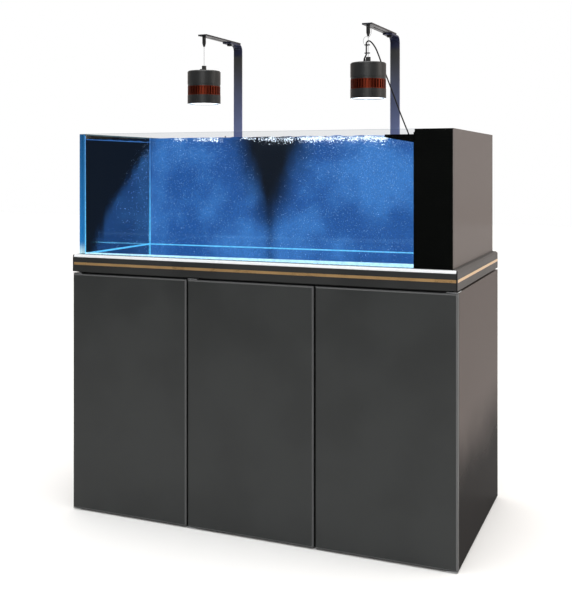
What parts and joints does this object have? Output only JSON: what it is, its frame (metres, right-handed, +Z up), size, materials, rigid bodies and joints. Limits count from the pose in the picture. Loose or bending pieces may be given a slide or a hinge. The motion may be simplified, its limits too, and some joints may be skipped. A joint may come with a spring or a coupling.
{
  "type": "aquarium on stand",
  "caption": "Rimless glass aquarium with an end filter column on a lacquered cabinet with hinged doors, under round lamps hung from rim-clamped brackets.",
  "frame": {"origin": "centre of the cabinet's footprint, on the floor", "axes": "+Z up, -Y out of the doors at the front, +X towards the filter column"},
  "size_m": [1.2, 0.6845, 1.5045],
  "materials": {
    "cabinet_carcass": "matt dark lacquer on board",
    "cabinet_sides": "high gloss grey-taupe lacquer",
    "doors": "satin anthracite lacquer",
    "frame_rails": "satin anthracite lacquer",
    "frame_side_rails": "gloss grey lacquer",
    "inlay": "brushed gold strip",
    "corner_bead": "black bead",
    "edge_trim": "polished white bullnose",
    "foam": "closed cell foam",
    "glides": "moulded",
    "hinge_steel": "zinc plated",
    "latch_body": "moulded",
    "latch_pin": "moulded",
    "tank_glass": "polished low-iron glass",
    "film": "blue background film",
    "black_panel": "polished black acrylic",
    "cladding": "gloss taupe acrylic",
    "filter_plastic": "moulded",
    "filter_media": "open foam",
    "bracket_metal": "blue-black anodised, satin",
    "arm_metal": "black anodised, satin",
    "screw_knobs": "moulded, knurled",
    "gripper_metal": "black",
    "wire_steel": "stranded",
    "lamp_metal": "graphite anodised, satin",
    "fin_metal": "copper red anodised",
    "lamp_lens": "frosted, lit",
    "clip_plastic": "moulded",
    "cord_rubber": "smooth flexible jacket",
    "plug_plastic": "moulded"
  },
  "bodies": {
    "root": {"foot_glides": "glides", "base_panel": "cabinet_carcass", "left_side_panel": "cabinet_sides", "right_side_panel": "cabinet_sides", "partition_panels": "cabinet_carcass", "back_panel": "cabinet_carcass", "deck_panel": "cabinet_carcass", "spacer_strips": "cabinet_carcass", "pivot_plates": "hinge_steel", "latch_housings": "latch_body", "front_rail": "frame_rails", "side_and_back_rails": "frame_side_rails", "corner_beads": "corner_bead", "gold_trim": "inlay", "front_edge_trim": "edge_trim", "support_board": "cabinet_carcass", "foam_mat": "foam", "bottom_glass": "tank_glass", "front_glass": "tank_glass", "left_glass": "tank_glass", "back_glass": "tank_glass", "right_glass": "tank_glass", "back_film": "film", "column_front_panel": "black_panel", "column_side_panel": "cladding", "weir_panel": "black_panel", "filter_baffles": "black_panel", "return_pump": "filter_plastic", "return_pipe": "filter_plastic", "bracket_1": "bracket_metal", "bracket_2": "bracket_metal", "lamp_cord": "cord_rubber", "cord_coil": "cord_rubber", "cord_plug": "plug_plastic"},
    "left_door": {"left_door": "doors"},
    "middle_door": {"middle_door": "doors"},
    "right_door": {"right_door": "doors"},
    "left_plunger": {"left_plunger": "latch_pin"},
    "middle_plunger": {"middle_plunger": "latch_pin"},
    "right_plunger": {"right_plunger": "latch_pin"},
    "filter_basket": {"filter_basket": "filter_plastic", "filter_foam": "filter_media"},
    "clamp_screw_1": {"clamp_screw_1": "screw_knobs"},
    "clamp_screw_2": {"clamp_screw_2": "screw_knobs"},
    "lock_screw_1": {"lock_screw_1": "screw_knobs"},
    "lock_screw_2": {"lock_screw_2": "screw_knobs"},
    "arm_1": {"arm_1": "arm_metal", "gripper_1": "gripper_metal"},
    "hanger_1": {"wire_1": "wire_steel"},
    "lamp_1": {"lamp_housing_1": "lamp_metal", "fin_ring_1": "fin_metal", "lens_1": "lamp_lens"},
    "arm_2": {"arm_2": "arm_metal", "gripper_2": "gripper_metal", "wire_2": "wire_steel", "cord_clips": "clip_plastic", "lamp_lead": "cord_rubber"},
    "lamp_2": {"lamp_housing_2": "lamp_metal", "fin_ring_2": "fin_metal", "lens_2": "lamp_lens"}
  },
  "joints": [
    {"name": "left_door_hinge", "type": "hinge", "parent": "root", "child": "left_door", "pos_m": [-0.5925, -0.2975, 0.37], "axis": [0, 0, -1], "range_deg": [0, 100]},
    {"name": "middle_door_hinge", "type": "hinge", "parent": "root", "child": "middle_door", "pos_m": [-0.1905, -0.2975, 0.37], "axis": [0, 0, -1], "range_deg": [0, 100]},
    {"name": "right_door_hinge", "type": "hinge", "parent": "root", "child": "right_door", "pos_m": [0.5925, -0.2975, 0.37], "axis": [0, 0, 1], "range_deg": [0, 100]},
    {"name": "left_latch_push", "type": "slide", "parent": "root", "child": "left_plunger", "axis": [0, 1, 0], "range_m": [0, 0.0025], "stiffness_N_per_m": 400, "springref_m": -0.004},
    {"name": "middle_latch_push", "type": "slide", "parent": "root", "child": "middle_plunger", "axis": [0, 1, 0], "range_m": [0, 0.0025], "stiffness_N_per_m": 400, "springref_m": -0.004},
    {"name": "right_latch_push", "type": "slide", "parent": "root", "child": "right_plunger", "axis": [0, 1, 0], "range_m": [0, 0.0025], "stiffness_N_per_m": 400, "springref_m": -0.004},
    {"name": "filter_basket_lift", "type": "slide", "parent": "root", "child": "filter_basket", "axis": [0, 0, 1], "range_m": [0, 0.3]},
    {"name": "clamp_screw_1_turn", "type": "hinge", "parent": "root", "child": "clamp_screw_1", "pos_m": [-0.32, 0.299, 1.153], "axis": [0, 1, 0], "continuous": true},
    {"name": "lock_screw_1_turn", "type": "hinge", "parent": "root", "child": "lock_screw_1", "pos_m": [-0.32, 0.225, 1.49], "axis": [0, 0, 1], "continuous": true},
    {"name": "clamp_screw_2_turn", "type": "hinge", "parent": "root", "child": "clamp_screw_2", "pos_m": [0.262, 0.299, 1.153], "axis": [0, 1, 0], "continuous": true},
    {"name": "lock_screw_2_turn", "type": "hinge", "parent": "root", "child": "lock_screw_2", "pos_m": [0.262, 0.225, 1.49], "axis": [0, 0, 1], "continuous": true},
    {"name": "arm_1_reach", "type": "slide", "parent": "root", "child": "arm_1", "axis": [-0.0314, -0.9995, 0], "range_m": [-0.1, 0.03]},
    {"name": "arm_2_reach", "type": "slide", "parent": "root", "child": "arm_2", "axis": [-0.0314, -0.9995, 0], "range_m": [-0.06, 0.003], "deforming": ["lamp_cord"]},
    {"name": "lamp_1_height", "type": "slide", "parent": "arm_1", "child": "hanger_1", "axis": [0, 0, 1], "range_m": [-0.015, 0.012]},
    {"name": "lamp_1_swing", "type": "hinge", "parent": "hanger_1", "child": "lamp_1", "pos_m": [-0.32565, 0.04509, 1.391], "axis": [1, 0, 0], "range_deg": [-8, 8]},
    {"name": "lamp_2_swing", "type": "hinge", "parent": "arm_2", "child": "lamp_2", "pos_m": [0.2555, 0.0181, 1.391], "axis": [1, 0, 0], "range_deg": [-8, 8], "deforming": ["lamp_lead"]}
  ]
}
